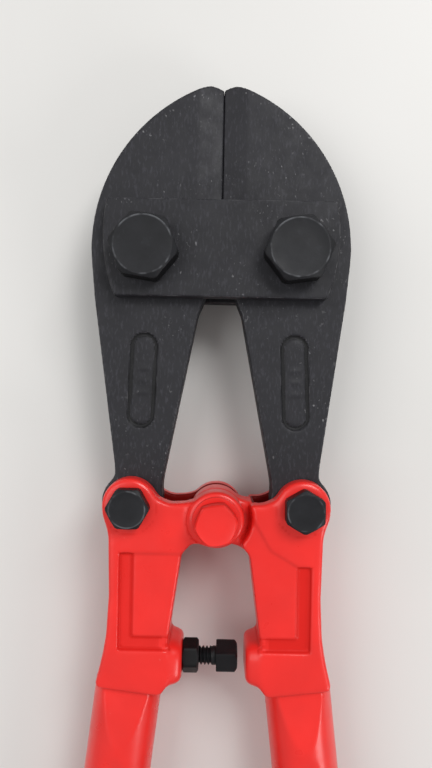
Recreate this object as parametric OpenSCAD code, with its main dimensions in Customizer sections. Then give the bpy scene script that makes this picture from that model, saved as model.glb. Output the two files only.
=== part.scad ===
// Bolt cutters: two forged jaws between two side plates, driven by two long handles.
// +Y points to the jaw tips, +Z is up, and the origin is on the centre pivot's axis,
// in the plane that the tool lies on. The handles are drawn as they rest, nearly closed.

/* [Linkage] */
// Distance between the two pivots of one jaw
jaw_link = 67.2; // [60:0.1:82]
// Distance from the centre pivot to each tail pivot
crank = 23; // [19:0.1:28]
// Rise of the crank above the cross line, in degrees
crank_rise = 7.7; // [4:0.1:9]
// Half the distance between the two jaw pivots
jaw_pivot_x = 19.9; // [16.5:0.1:21.5]

/* [Jaws] */
// Thickness of each jaw
jaw_t = 8; // [6.5:0.1:10]
// Reach of the tips beyond the jaw pivots
jaw_reach = 45.9; // [36:0.1:55]
// Half the width across the closed jaws
jaw_half_w = 35; // [32:0.1:42]
// Gap between the cutting edges at rest
edge_gap = 0.1; // [0.1:0.02:0.6]
// Width of the bevel beside each cutting edge
bevel_w = 6.4; // [4:0.1:9]
// Depth of the bevel at the cutting edge
bevel_d = 2.2; // [1.5:0.1:3.8]
// Radius of the lug at the end of each jaw tail
lug_r = 8.1; // [7:0.1:10]
// Length of the recess in each tail
recess_l = 26; // [18:0.5:32]
// Width of the recess in each tail
recess_w = 7.8; // [5:0.1:9.5]
// Depth of the recess in each tail
recess_d = 0.8; // [0.3:0.1:1.5]

/* [Side plates] */
// Thickness of each side plate
plate_t = 4; // [3:0.1:5]
// Height of the side plates, along the tool
plate_h = 25.8; // [21:0.1:31]
// Half the width of the side plates at their widest
plate_half_w = 31.2; // [29:0.1:37]
// Distance from the jaw pivots up to the plates' top edge
plate_above = 13.7; // [10:0.1:16]

/* [Fasteners] */
// Diameter of the jaw bolts
jaw_bolt_d = 10; // [8:0.1:12]
// Width across the flats of the jaw bolts
jaw_bolt_af = 16; // [13:0.5:19]
// Height of the jaw bolt heads
jaw_head_h = 6.4; // [5:0.1:8]
// Height of the jaw nuts
jaw_nut_h = 5; // [4:0.1:8]
// Thickness of the washers under the jaw nuts
jaw_washer_t = 1.5; // [1:0.1:2.5]
// Diameter of the tail bolts and the centre bolt
small_bolt_d = 6; // [5:0.1:7]
// Width across the flats of the small bolts and nuts
small_af = 10; // [9:0.1:11]
// Height of the small bolt heads
small_head_h = 4; // [3:0.1:5]
// Height of the small nuts
small_nut_h = 4; // [3:0.1:4.6]
// Height of the centre bolt's head
centre_head_h = 4.5; // [3:0.1:5]
// Thickness of the washers under the tail nuts
tail_washer_t = 1.2; // [0.8:0.1:1.6]
// Thickness of the washer under the centre bolt's head
centre_washer_t = 1.5; // [0.8:0.1:2]

/* [Handle heads] */
// Thickness of the cast handle heads
cast_t = 18; // [16:0.2:19]
// Radius of the ears around the tail bolts
ear_r = 7.3; // [6.8:0.1:9]
// Radius of the knuckles around the centre bolt
knuckle_r = 7.4; // [6.5:0.1:9]
// Height of the knuckle pads above the casting's face
knuckle_pad = 1; // [0.5:0.1:1.5]
// Distance from the centre pivot down to the castings' ends
cast_end = 47; // [45:0.5:58]
// Distance from the centre pivot down to the stop screw
stop_y = 39.3; // [36:0.1:40]
// Half the distance between the two stop bosses
boss_x = 8.5; // [8:0.1:9.5]
// Depth of the grooves in the castings' faces
groove_d = 1.6; // [0.8:0.1:2.5]
// Length of the spigots inside the tubes
spigot_l = 28; // [15:1:40]

/* [Stop screw] */
// Diameter of the stop screw
stop_d = 5; // [4:0.1:6]
// Width across the flats of the stop screw's lock nut
stop_nut_af = 8; // [7:0.5:10]
// Gap between the stop screw's head and the facing boss
stop_gap = 2; // [2:0.1:3]
// Thickness of the stop screw's lock nut
lock_nut_t = 4.4; // [3.5:0.1:5]
// Length of the stop screw's square head
stop_head_l = 5.8; // [4:0.1:6]
// Width across the stop screw's square head
stop_head_w = 6; // [5:0.1:8]
// Turn of the stop screw's head about its axis, in degrees
stop_turn = 27; // [0:1:45]
// Length of the stop screw inside its boss
stop_screw_in = 9; // [6:0.5:12]

/* [Handles] */
// Diameter of the handle tubes
tube_d = 18; // [15.5:0.1:19]
// Wall of the handle tubes
tube_wall = 1.6; // [1:0.1:2.5]
// Outward lean of each handle tube, in degrees
splay = 6.7; // [4:0.1:10]
// Distance along a handle from the casting's end to the grip's end
handle_l = 186.7; // [160:0.1:260]
// Length of each grip
grip_l = 118; // [90:1:140]
// Diameter of the grips along their waist
grip_d = 26; // [23:0.1:29]

/* [Hidden] */
$fn = 96;
side_gap = 0.1;         // between a jaw and each side plate
fork_gap = 0.15;        // between a fork's cheek and what it holds
turn_gap = 0.05;        // running clearance of a pivot's bore
seat_gap = 0.05;        // radial clearance of a nut, washer or hole on its bolt
open_gap = 1.4;         // extra radius of the tail holes, the linkage's two open pivots
end_out = 0.4;          // bolt end that shows past a jaw nut
end_gap = 0.15;         // between a tube's end and the casting
cut = 1;                // how far a cutting solid runs past the face it cuts
cap_t = 4;              // closed end wall of a grip
chamfer = 0.5;          // chamfer on shafts and bolt ends

tail = crank * [cos(crank_rise), sin(crank_rise)];
jaw_pivot = [jaw_pivot_x, tail[1] + sqrt(pow(jaw_link, 2) - pow(tail[0] - jaw_pivot_x, 2))];
tip_y = jaw_pivot[1] + jaw_reach;
half_cast = cast_t / 2;
half_jaw = jaw_t / 2;
half_fork = half_jaw + fork_gap;
plate_z = half_jaw + side_gap;
jaw_stack = plate_z + plate_t + jaw_washer_t + jaw_nut_h + end_out;
tail_stack = half_cast + tail_washer_t + small_nut_h + end_out;
centre_stack = half_cast + knuckle_pad + small_nut_h + end_out;
rest_h = max(jaw_stack, tail_stack, centre_stack);

// Outline of a jaw: one arc from the widest level to the tip, on an ogive's radius
widest_y = jaw_pivot[1] + 1.7;
ogive_over = 1.1;       // how far above the tips the two ogives would meet
ogive_rise = tip_y + ogive_over - widest_y;
ogive_r = (pow(jaw_half_w, 2) + pow(ogive_rise, 2)) / (2 * jaw_half_w);
heel_y = jaw_pivot[1] + 9.7;
shoulder_y = jaw_pivot[1] - 4.3;
shoulder_x = jaw_half_w - ogive_r + sqrt(pow(ogive_r, 2) - pow(widest_y - shoulder_y, 2)) - 0.03;
plate_top = jaw_pivot[1] + plate_above;
plate_foot = plate_top - plate_h;
plate_arc_r = 46;
tip_arc_r = 8;

// Castings, measured from the centre pivot and from the tail pivots
swing_r = knuckle_r + 2.5;
hidden_swing_r = knuckle_r + 0.8;
throat_r = lug_r + open_gap + 0.3;
arm_slot_x = swing_r + 0.3;
arm_slot_y = 1.4;
leg_out = tail[0] + 5.1;
foot_out = tail[0] + 8.2;
leg_in_top = tail[0] - 13.8;
leg_in_foot = tail[0] - 10.5;
foot_in = tail[0] - 8.9;
boss_top = stop_y - 7.4;
window_top = knuckle_r - 0.7;
groove_out = leg_out - 3.4;
groove_w = 4.1;
groove_head = 9.6;
groove_foot = stop_y - 4.8;
groove_foot_h = 3.3;

// Handles: the tube's axis starts at the middle of the casting's end
tube_x = tail[0] + 0.25;
tube_r = tube_d / 2;
bore_r = tube_r - tube_wall;
grip_r = grip_d / 2;
grip_from = handle_l - grip_l;

// Stop screw, along X through the left boss
head_from = boss_x - stop_gap - stop_head_l;
stop_travel = 5;        // room behind the stop screw for it to be screwed in

// Solids about the jaws' middle plane are lifted to stand on the rest plane
module lifted() {
    translate([0, 0, rest_h]) children();
}

// A plate of the 2D children, from z0 to z1
module slab(z0, z1) {
    translate([0, 0, z0]) linear_extrude(z1 - z0) children();
}

// A hexagonal prism with its outer corners chamfered at one end
module hex_solid(af, h) {
    intersection() {
        cylinder(h = h, d = af / cos(30), $fn = 6);
        cylinder(h = h, r1 = af / 2 + 2 * h, r2 = af / 2 - 0.15);
    }
}

// A bolt that hangs down from a seat at z = 0, its head above
module hex_bolt(d, af, head_h, shank_l, turn) {
    rotate([0, 0, turn]) hex_solid(af, head_h);
    translate([0, 0, -shank_l + chamfer]) cylinder(h = shank_l - chamfer + 0.01, d = d);
    translate([0, 0, -shank_l]) cylinder(h = chamfer, d1 = d - 2 * chamfer, d2 = d);
}

// A nut below z = 0
module hex_nut(d, af, h, turn) {
    rotate([0, 0, turn]) difference() {
        mirror([0, 0, 1]) hex_solid(af, h);
        translate([0, 0, -h - cut]) cylinder(h = h + 2 * cut, r = d / 2 + seat_gap);
    }
}

// A flat ring below z = 0
module ring(d_in, d_out, t) {
    translate([0, 0, -t]) difference() {
        cylinder(h = t, d = d_out);
        translate([0, 0, -cut]) cylinder(h = t + 2 * cut, r = d_in / 2 + seat_gap);
    }
}

// The right jaw's outline: ogive above, tail and lug below
module jaw_outline() {
    edge = edge_gap / 2;
    foot = tail[1] - 2 * lug_r;
    difference() {
        intersection() {
            union() {
                translate([jaw_half_w - ogive_r, widest_y]) circle(r = ogive_r, $fn = 240);
                translate([0, foot]) square([2 * jaw_half_w, shoulder_y - 0.5 - foot]);
            }
            union() {
                polygon([
                    [edge, tip_y + 3],
                    [jaw_half_w + 3, tip_y + 3],
                    [jaw_half_w + 3, shoulder_y],
                    [shoulder_x, shoulder_y],
                    [jaw_half_w - 1.15, jaw_pivot[1] - 12.3],
                    [tail[0] + 0.6 * lug_r, tail[1] + 1.3 * lug_r],
                    [tail[0] + 0.5 * lug_r, tail[1]],
                    [tail[0] - 0.9 * lug_r, tail[1]],
                    [tail[0] - lug_r - 0.3, tail[1] + 0.9 * lug_r],
                    [5.9, plate_foot - 4],
                    [4.2, plate_foot],
                    [1.2, jaw_pivot[1]],
                    [edge, heel_y - 4]
                ]);
                translate(tail) circle(r = lug_r);
            }
        }
        tip_corner();
    }
}

// What the tip's rounded inner corner takes off
module tip_corner() {
    difference() {
        translate([-1, tip_y - 6]) square([8, 12]);
        translate([tip_arc_r / 2, tip_y - tip_arc_r]) circle(r = tip_arc_r);
    }
}

// A wedge that bevels the cutting edge on one face
module bevel_cut() {
    translate([0, tip_y + 2 * cut, 0]) rotate([90, 0, 0])
        linear_extrude(tip_y - heel_y + 2 * cut)
            polygon([[-cut, half_jaw + cut], [bevel_w, half_jaw + cut], [bevel_w, half_jaw],
                [edge_gap / 2, half_jaw - bevel_d], [-cut, half_jaw - bevel_d]]);
}

// The long round-ended recess in one face of a tail
module recess_cut() {
    middle = (tail + jaw_pivot) / 2 + [-0.8, -0.6];
    run = (recess_l - recess_w) / 2;
    translate([middle[0], middle[1], half_jaw - recess_d]) rotate([0, 0, 1.8]) {
        translate([0, run, 0]) cylinder(h = recess_d + cut, d = recess_w);
        translate([0, -run, 0]) cylinder(h = recess_d + cut, d = recess_w);
        translate([0.01 - recess_w / 2, -run, 0]) cube([recess_w - 0.02, 2 * run, recess_d + cut]);
    }
}

module jaw() {
    difference() {
        slab(-half_jaw, half_jaw) jaw_outline();
        for (face = [0, 1]) mirror([0, 0, face]) {
            bevel_cut();
            recess_cut();
        }
        translate([jaw_pivot[0], jaw_pivot[1], -half_jaw - cut])
            cylinder(h = jaw_t + 2 * cut, r = jaw_bolt_d / 2 + turn_gap);
        translate([tail[0], tail[1], -half_jaw - cut])
            cylinder(h = jaw_t + 2 * cut, r = small_bolt_d / 2 + open_gap);
    }
}

module side_plate() {
    difference() {
        linear_extrude(plate_t) intersection() {
            plate_side();
            mirror([1, 0]) plate_side();
            polygon([
                [-plate_half_w, plate_top], [plate_half_w, plate_top],
                [plate_half_w, plate_foot + 4.5], [plate_half_w - 2.6, plate_foot],
                [-plate_half_w + 2.6, plate_foot], [-plate_half_w, plate_foot + 4.5]
            ]);
        }
        for (side = [-1, 1]) translate([side * jaw_pivot[0], jaw_pivot[1], -cut])
            cylinder(h = plate_t + 2 * cut, r = jaw_bolt_d / 2 + seat_gap);
    }
}

// The arc that bounds the side plates on the right
module plate_side() {
    translate([plate_half_w - plate_arc_r, jaw_pivot[1] + 4.7]) circle(r = plate_arc_r, $fn = 240);
}

module jaw_bolt(turn) {
    translate([jaw_pivot[0], jaw_pivot[1], plate_z + plate_t])
        hex_bolt(jaw_bolt_d, jaw_bolt_af, jaw_head_h, rest_h + plate_z + plate_t, turn);
}

module jaw_nut(turn) {
    translate([jaw_pivot[0], jaw_pivot[1], -plate_z - plate_t - jaw_washer_t])
        hex_nut(jaw_bolt_d, jaw_bolt_af, jaw_nut_h, turn);
}

module jaw_washer() {
    translate([jaw_pivot[0], jaw_pivot[1], -plate_z - plate_t])
        ring(jaw_bolt_d, jaw_bolt_af + 1, jaw_washer_t);
}

module tail_bolt(turn) {
    translate([tail[0], tail[1], half_cast])
        hex_bolt(small_bolt_d, small_af, small_head_h, half_cast + tail_stack, turn);
}

module tail_washer() {
    translate([tail[0], tail[1], -half_cast]) ring(small_bolt_d, small_af + 1.5, tail_washer_t);
}

module tail_nut(turn) {
    translate([tail[0], tail[1], -half_cast - tail_washer_t])
        hex_nut(small_bolt_d, small_af, small_nut_h, turn);
}

// The right casting's outline: arm, leg, stop boss and foot
module cast_outline() {
    polygon([
        [0, -window_top],
        [0, 5.5],
        [8, 4.1],
        [12, 3.8],
        [tail[0] - 5.8, tail[1] + 2.6],
        [tail[0], tail[1]],
        [leg_out + 0.4, tail[1] - 8],
        [leg_out, -boss_top + 13],
        [leg_out + 0.5, -boss_top + 3],
        [leg_out + 1.2, -stop_y + 4],
        [foot_out - 0.9, -stop_y - 1],
        [foot_out, -cast_end + 3],
        [foot_out, -cast_end + (foot_out - tube_x) * tan(splay)],
        [foot_in, -cast_end + (foot_in - tube_x) * tan(splay)],
        [boss_x + 4.1, -stop_y - 6.7],
        [boss_x + 1.4, -stop_y - 5.5],
        [boss_x, -stop_y - 3.4],
        [boss_x, -stop_y + 3.6],
        [boss_x + 1.4, -boss_top],
        [leg_in_foot, -boss_top],
        [leg_in_top, -window_top - 3],
        [leg_in_top - 2.6, -window_top]
    ]);
    translate(tail) circle(r = ear_r);
}

// The fork's throat: room for the jaw tail's lug and for the tail as the handle swings out
module throat_outline() {
    translate(tail) circle(r = throat_r);
    translate([tail[0] - throat_r, tail[1]]) square([2 * throat_r + 12, 30]);
    translate([tail[0], tail[1] - throat_r]) square([throat_r + 12, throat_r + 1]);
    translate([arm_slot_x, arm_slot_y]) square([tail[0] - arm_slot_x, 10]);
}

// An L-shaped groove in one face of the casting
module groove_cut() {
    translate([groove_out - groove_w, -groove_foot, half_cast - groove_d])
        cube([groove_w, groove_foot - groove_head, groove_d + cut]);
    translate([boss_x + 1.8, -groove_foot, half_cast - groove_d])
        cube([groove_out - boss_x - 1.8, groove_foot_h, groove_d + cut]);
}

// What both castings share: leg, ears, boss and the spigot inside the tube
module cast_common() {
    difference() {
        slab(-half_cast, half_cast) cast_outline();
        slab(-half_fork, half_fork) throat_outline();
        for (face = [0, 1]) mirror([0, 0, face]) groove_cut();
        translate([tail[0], tail[1], -half_cast - cut])
            cylinder(h = cast_t + 2 * cut, r = small_bolt_d / 2 + seat_gap);
    }
    on_tube_axis() translate([0, 0, -2]) cylinder(h = spigot_l + 2, r = bore_r - seat_gap);
}

// Puts +Z along the right tube's axis, from the casting's end outwards
module on_tube_axis() {
    translate([tube_x, -cast_end, 0]) rotate([90, 0, splay]) children();
}

// The right casting ends in one tongue at the centre pivot
module tongue_head() {
    difference() {
        union() {
            difference() {
                cast_common();
                for (face = [0, 1]) mirror([0, 0, face])
                    translate([0, 0, half_jaw]) cylinder(h = half_cast, r = swing_r);
            }
            slab(-half_jaw, half_jaw) circle(r = knuckle_r);
        }
        translate([0, 0, -half_cast - cut])
            cylinder(h = cast_t + 2 * cut, r = small_bolt_d / 2 + turn_gap);
    }
}

// The left casting ends in a fork of two knuckles, and its boss takes the stop screw
module fork_head() {
    difference() {
        union() {
            mirror([1, 0, 0]) cast_common();
            slab(-half_cast - knuckle_pad, half_cast + knuckle_pad) circle(r = knuckle_r);
        }
        slab(-half_fork, half_fork) circle(r = hidden_swing_r);
        slab(-half_fork, half_fork) translate([-arm_slot_x - cut, arm_slot_y])
            square([cut + arm_slot_x - hidden_swing_r / 2, 10]);
        translate([0, 0, -half_cast - 2 * cut])
            cylinder(h = cast_t + 4 * cut, r = small_bolt_d / 2 + turn_gap);
        stop_axis(-boss_x - stop_screw_in - stop_travel)
            cylinder(h = stop_screw_in + stop_travel + cut, r = stop_d / 2 + turn_gap);
    }
}

// Puts +Z along the stop screw's axis, which is +X, starting at the place x
module stop_axis(x) {
    translate([x, -stop_y, 0]) rotate([0, 90, 0]) children();
}

module stop_solid() {
    stop_axis(-boss_x - stop_screw_in)
        cylinder(h = boss_x + stop_screw_in + head_from + 0.01, d = stop_d);
    stop_axis(head_from) rotate([0, 0, -stop_turn]) intersection() {
        translate([-stop_head_w / 2, -stop_head_w / 2, 0]) cube([stop_head_w, stop_head_w, stop_head_l]);
        cylinder(h = stop_head_l, r1 = stop_head_w / 2 + 8, r2 = stop_head_w / 2 + 0.6);
    }
}

module tube() {
    on_tube_axis() translate([0, 0, end_gap]) difference() {
        cylinder(h = handle_l - cap_t - end_gap - turn_gap, r = tube_r);
        translate([0, 0, -cut]) cylinder(h = handle_l + 2 * cut, r = bore_r);
    }
}

// A moulded sleeve with a flared lip in front, a waist, and a closed flared end
module grip() {
    sleeve_r = tube_r + seat_gap;
    on_tube_axis() rotate_extrude() polygon([
        [sleeve_r, grip_from],
        [rest_h - 2.6, grip_from],
        [rest_h, grip_from + 2.2],
        [rest_h, grip_from + 5],
        [grip_r, grip_from + 11],
        [grip_r, handle_l - 13],
        [rest_h, handle_l - 7],
        [rest_h, handle_l - 2.5],
        [rest_h - 2.5, handle_l],
        [0, handle_l],
        [0, handle_l - cap_t],
        [sleeve_r, handle_l - cap_t]
    ]);
}

module left_jaw() { color("dimgray") lifted() mirror([1, 0, 0]) jaw(); }
module right_jaw() { color("dimgray") lifted() jaw(); }
module front_plate() { color("darkslategray") lifted() translate([0, 0, plate_z]) side_plate(); }
module back_plate() {
    color("darkslategray") lifted() translate([0, 0, -plate_z - plate_t]) side_plate();
}
module left_jaw_bolt() { color("gray") lifted() mirror([1, 0, 0]) jaw_bolt(9); }
module right_jaw_bolt() { color("gray") lifted() jaw_bolt(8); }
module left_jaw_nut() { color("gray") lifted() mirror([1, 0, 0]) jaw_nut(20); }
module right_jaw_nut() { color("gray") lifted() jaw_nut(5); }
module jaw_washers() {
    color("slategray") lifted() for (side = [0, 1]) mirror([side, 0, 0]) jaw_washer();
}
module left_tail_bolt() { color("gray") lifted() mirror([1, 0, 0]) tail_bolt(0); }
module right_tail_bolt() { color("gray") lifted() tail_bolt(30); }
module left_tail_nut() { color("gray") lifted() mirror([1, 0, 0]) tail_nut(12); }
module right_tail_nut() { color("gray") lifted() tail_nut(25); }
module left_tail_washer() { color("slategray") lifted() mirror([1, 0, 0]) tail_washer(); }
module right_tail_washer() { color("slategray") lifted() tail_washer(); }
module left_handle_head() { color("red") lifted() fork_head(); }
module right_handle_head() { color("firebrick") lifted() tongue_head(); }
module centre_bolt() {
    seat = half_cast + knuckle_pad + centre_washer_t;
    color("orangered") lifted() translate([0, 0, seat])
        hex_bolt(small_bolt_d, small_af, centre_head_h, rest_h + seat, 10);
}
module centre_washer() {
    color("tomato") lifted() translate([0, 0, half_cast + knuckle_pad + centre_washer_t])
        ring(small_bolt_d, small_af + 2.6, centre_washer_t);
}
module centre_nut() {
    color("orangered") lifted() translate([0, 0, -half_cast - knuckle_pad])
        hex_nut(small_bolt_d, small_af, small_nut_h, 20);
}
module stop_screw() { color("black") lifted() stop_solid(); }
module stop_lock_nut() {
    color("black") lifted() stop_axis(-boss_x + lock_nut_t) hex_nut(stop_d, stop_nut_af, lock_nut_t, 15);
}
module left_tube() { color("red") lifted() mirror([1, 0, 0]) tube(); }
module right_tube() { color("red") lifted() tube(); }
module left_grip() { color("black") lifted() mirror([1, 0, 0]) grip(); }
module right_grip() { color("black") lifted() grip(); }

left_jaw();
right_jaw();
front_plate();
back_plate();
left_jaw_bolt();
right_jaw_bolt();
left_jaw_nut();
right_jaw_nut();
jaw_washers();
left_tail_bolt();
right_tail_bolt();
left_tail_nut();
right_tail_nut();
left_tail_washer();
right_tail_washer();
left_handle_head();
right_handle_head();
centre_bolt();
centre_washer();
centre_nut();
stop_screw();
stop_lock_nut();
left_tube();
right_tube();
left_grip();
right_grip();
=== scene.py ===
"""Bolt cutters: the forged head, the cast handle heads, the fasteners, the tubes and the grips.

Every surface is worked out in millimetres about the tool's own axes: +Y towards the jaw tips, X across,
and Z measured from the jaws' middle plane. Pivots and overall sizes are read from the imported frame.
"""

import math

import bpy
import numpy as np
from bpy.props import FloatProperty, FloatVectorProperty, IntProperty, PointerProperty
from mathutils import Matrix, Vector


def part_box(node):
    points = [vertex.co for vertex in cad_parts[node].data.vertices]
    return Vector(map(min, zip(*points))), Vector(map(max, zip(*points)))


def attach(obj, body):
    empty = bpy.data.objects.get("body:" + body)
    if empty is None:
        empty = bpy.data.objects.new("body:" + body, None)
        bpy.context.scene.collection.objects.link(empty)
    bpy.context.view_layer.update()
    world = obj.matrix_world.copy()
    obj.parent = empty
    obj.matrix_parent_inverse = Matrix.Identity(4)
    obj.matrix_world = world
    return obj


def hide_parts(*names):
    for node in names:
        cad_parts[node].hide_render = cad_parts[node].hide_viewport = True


bl_info = {
    "name": "Bolt cutters",
    "version": (1, 0, 0),
    "blender": (4, 5, 0),
    "location": "View3D > Sidebar > Cutters",
    "description": "Builds the finished look of a pair of bolt cutters around its packed frame",
    "category": "Add Mesh",
}

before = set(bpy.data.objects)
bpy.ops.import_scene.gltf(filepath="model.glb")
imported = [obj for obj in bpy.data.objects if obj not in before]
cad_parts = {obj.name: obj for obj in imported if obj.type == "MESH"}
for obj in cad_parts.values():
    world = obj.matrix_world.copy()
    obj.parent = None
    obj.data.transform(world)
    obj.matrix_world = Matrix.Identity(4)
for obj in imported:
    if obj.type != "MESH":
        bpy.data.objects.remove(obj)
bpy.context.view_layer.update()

MM = 0.001
LEFT, RIGHT = -1, 1
SIDES = {"left": LEFT, "right": RIGHT}


# ---- places read from the frame

def box_mm(node):
    """A CAD node's lowest and highest corners in millimetres."""
    low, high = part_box(node)
    return np.array(low) / MM, np.array(high) / MM


def centre_mm(node):
    """The middle of a CAD node's box in millimetres."""
    low, high = box_mm(node)
    return (low + high) / 2


JAW_LOW, JAW_HIGH = box_mm("right_jaw")
LIFT = (JAW_LOW[2] + JAW_HIGH[2]) / 2
HALF_JAW = (JAW_HIGH[2] - JAW_LOW[2]) / 2
EDGE = JAW_LOW[0]
HALF_WIDTH = JAW_HIGH[0]
TIP_Y = JAW_HIGH[1]
JAW_PIVOT = centre_mm("right_jaw_bolt")[:2]
TAIL = centre_mm("right_tail_bolt")[:2]
PLATE_LOW, PLATE_HIGH = box_mm("front_plate")
CAST_LOW, CAST_HIGH = box_mm("right_handle_head")
HALF_CAST = (CAST_HIGH[2] - CAST_LOW[2]) / 2
KNUCKLE_TOP = box_mm("left_handle_head")[1][2] - LIFT
NUT_LOW, NUT_HIGH = box_mm("stop_lock_nut")
SCREW_LOW, SCREW_HIGH = box_mm("stop_screw")
STOP_Y = -(NUT_LOW[1] + NUT_HIGH[1]) / 2
BOSS_X = -NUT_LOW[0]
GRIP_LOW, GRIP_HIGH = box_mm("right_grip")
TUBE_LOW, TUBE_HIGH = box_mm("right_tube")
TUBE_R = (TUBE_HIGH[2] - TUBE_LOW[2]) / 2


# ---- sizes that no box gives, in millimetres

OGIVE_OVER = 1.1                # how far above the tips the two jaws' arcs would meet
TIP_R = 8.0                     # rounding of the jaws' tips
BLADE_FROM = 9.7                # where the cutting edges start, above the jaw bolts
BLADE_LEAN = 0.055              # tangent of the lean of the cutting edges' own faces
BLADE_SPARE = 1.0               # how far the outline runs past those faces before they are cut
LUG_R = 8.1                     # round end of a jaw tail
JAW_BORE_R, OPEN_BORE_R = 5.05, 4.4     # at the jaw bolts, and at the open tail pivots
PLATE_ARC_R = 46.0              # sides of the side plates
PLATE_CUT_X, PLATE_CUT_Y = 2.6, 4.5     # cut corners of the side plates

EAR_R, KNUCKLE_R = 7.3, 7.4     # round ends of a casting, at the tail bolt and the centre bolt
WINDOW_TOP = -(KNUCKLE_R - 0.7)
CAST_END = 47.0                 # from the centre bolt to the castings' lower end in the frame
FOOT_RISE = 1.3                 # how far above that the visible castings end
HALF_FORK = HALF_JAW + 0.15
ARM_SLOT_X, ARM_SLOT_Y = KNUCKLE_R + 2.8, 1.4
CAST_BORE_R, STOP_BORE_R = 3.05, 2.55
BOSS_LENGTH = 9.0
GROOVE_W, PANEL_DEPTH = 3.4, 0.95
DEEP_FORK_SHADE = -2.5                # value of the mesh attribute for worn edges and painted shade, deep inside a fork, where the enamel paints shade nearly black

JAW_AF, SMALL_AF, STOP_NUT_AF = 16.0, 10.0, 8.0
JAW_BOLT_D, SMALL_D, STOP_D = 10.0, 6.0, 5.0
HOLE_OVER = 0.1                 # how much wider a nut's or washer's hole is than its bolt
STOP_HEAD_W, STOP_HEAD_L, STOP_TURN = 6.0, 5.8, 27.0
CHAMFER_RIM, CHAMFER_DEG = 0.94, 34     # a head's flat face as a share of its width, and its cone
CREASE_DEG, SOFT_CREASE_DEG = 28, 50    # where a crisp and a painted fastener's shading breaks

TUBE_WALL = 1.6
END_GAP = 0.15 - FOOT_RISE      # start of a tube along the handle's axis
GRIP_LENGTH, GRIP_WAIST_R, GRIP_CAP = 118.0, 13.0, 4.0
GRIP_END_SHARE = 0.84           # share of a grip's radius that reaches its box's far face

JAW_STEP, CAST_STEP = 0.36, 0.42        # cell sizes of the distance fields
FORGE_WEAR, CAST_WEAR = 0.10, 0.30      # how far blurring moves a surface at a fully worn edge
GROOVE_ROUND = 0.32
ROUND_STEPS, SCREW_STEPS = 96, 64       # points round a turned piece

TABLE_HALF, TABLE_DROP = 3.0, 0.0002    # in metres, like the lights
LIGHTS = [("key", (0.36, 0.50, 0.72), (0, 0.04, 0), 0.38, 4.9),
          ("fill", (-0.58, 0.12, 0.78), (0, 0, 0), 0.7, 3.5),
          ("side", (0.60, -0.42, 0.42), (0, -0.05, 0), 0.25, 1.3)]
SURROUND = 0.40
CAMERA_X, CAMERA_Y, CAMERA_ABOVE = -0.72, 35.4, 159
CAMERA_ROLL_DEG, LENS, SENSOR = 1.1, 27.05, 36


# ---- sizes and colours a user may change

class CutterSizes(bpy.types.PropertyGroup):
    """Sizes of the visible detail, in millimetres."""

    bevel_width: FloatProperty(name="Bevel width", description="Width of the bevel beside each cutting edge",
                               default=6.4, min=3, max=9)
    bevel_depth: FloatProperty(name="Bevel depth", description="Depth of the bevel at the cutting edge",
                               default=1.6, min=1, max=3.8)
    recess_length: FloatProperty(name="Recess length", description="Length of the recess in each jaw tail",
                                 default=26, min=16, max=32)
    recess_width: FloatProperty(name="Recess width", description="Width of the recess in each jaw tail",
                                default=7.8, min=5, max=10)
    forge_round: FloatProperty(name="Forged edge", description="Softness of the forged edges",
                               default=0.27, min=0.1, max=1)
    cast_round: FloatProperty(name="Cast edge", description="Softness of the cast and painted edges",
                              default=0.6, min=0.3, max=1.5)
    groove_depth: FloatProperty(name="Groove depth", description="Depth of the grooves in the castings",
                                default=1.6, min=0.5, max=2.5)
    thread_pitch: FloatProperty(name="Thread pitch", description="Pitch of the stop screw's thread",
                                default=1.0, min=0.5, max=1.5)
    crimp_depth: FloatProperty(name="Crimp depth", description="Depth of the crimps that hold the tubes",
                               default=0.9, min=0.2, max=1.4)
    grip_ribs: IntProperty(name="Grip ribs", description="Number of ribs along the waist of each grip",
                           default=13, min=4, max=20)
    grip_rib_depth: FloatProperty(name="Rib depth", description="Depth of the channels between the ribs",
                                  default=0.9, min=0.3, max=1.4)


class CutterFinish(bpy.types.PropertyGroup):
    """Colours and wear of the finishes."""

    enamel: FloatVectorProperty(name="Enamel", description="Colour of the enamel", subtype="COLOR",
                                default=(0.80, 0.024, 0.019), min=0, max=1)
    forging: FloatVectorProperty(name="Forging", description="Colour of the oxide on the forgings",
                                 subtype="COLOR", default=(0.0155, 0.0152, 0.0186), min=0, max=1)
    fastener: FloatVectorProperty(name="Fastener", description="Colour of the oxide on the bolts",
                                  subtype="COLOR", default=(0.0095, 0.0098, 0.0118), min=0, max=1)
    grip: FloatVectorProperty(name="Grip", description="Colour of the moulded grips", subtype="COLOR",
                              default=(0.018, 0.018, 0.019), min=0, max=1)
    dust: FloatProperty(name="Dust", description="How much pale dust lies on the dark forgings",
                        default=0.5, min=0, max=1, subtype="FACTOR")
    # Scales only the lighter worn edges; the painted shade in hollows, which comes from the same mesh
    # attribute, doesn't change with it.
    wear_and_shade: FloatProperty(name="Wear", description="How bright the worn edges are",
                        default=0.5, min=0, max=1, subtype="FACTOR")


def sizes():
    """The size settings of the scene."""
    return bpy.context.scene.cutter_sizes


def finish():
    """The finish settings of the scene."""
    return bpy.context.scene.cutter_finish


# ---- meshes from whole arrays

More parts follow.
